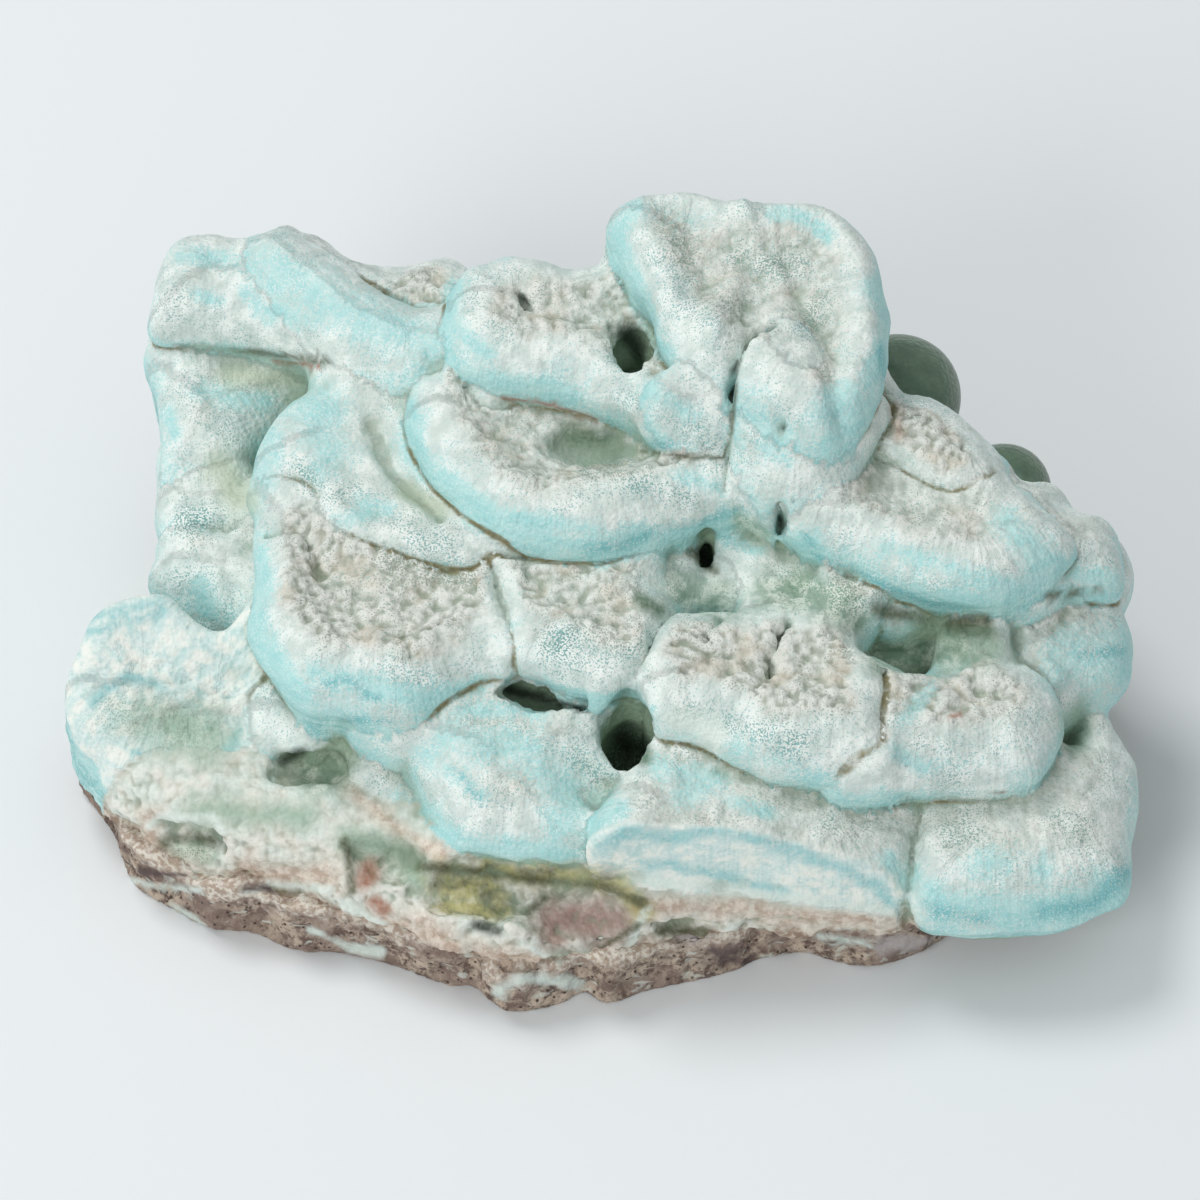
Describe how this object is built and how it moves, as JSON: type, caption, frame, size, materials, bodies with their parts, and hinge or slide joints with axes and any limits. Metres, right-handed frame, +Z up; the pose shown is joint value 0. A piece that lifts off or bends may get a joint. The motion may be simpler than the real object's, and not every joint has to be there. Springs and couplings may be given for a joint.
{
  "type": "blue aragonite mineral specimen",
  "caption": "Blue aragonite specimen: a crust of thick, overlapping pale blue lobes grown on a slab of brown rock, lying on its flat underside.",
  "frame": {"origin": "centre of the bounding box at the flat underside of the rock", "axes": "+Z up, out of the rock through the crust; +X to the right along the specimen's long side; +Y to the back; the broken rock edge faces -Y"},
  "size_m": [0.1371, 0.0958, 0.0666],
  "materials": {
    "aragonite": "rough",
    "matrix_rock": "rough"
  },
  "bodies": {
    "root": {"aragonite_crust": "aragonite", "rock_matrix": "matrix_rock"}
  },
  "joints": []
}
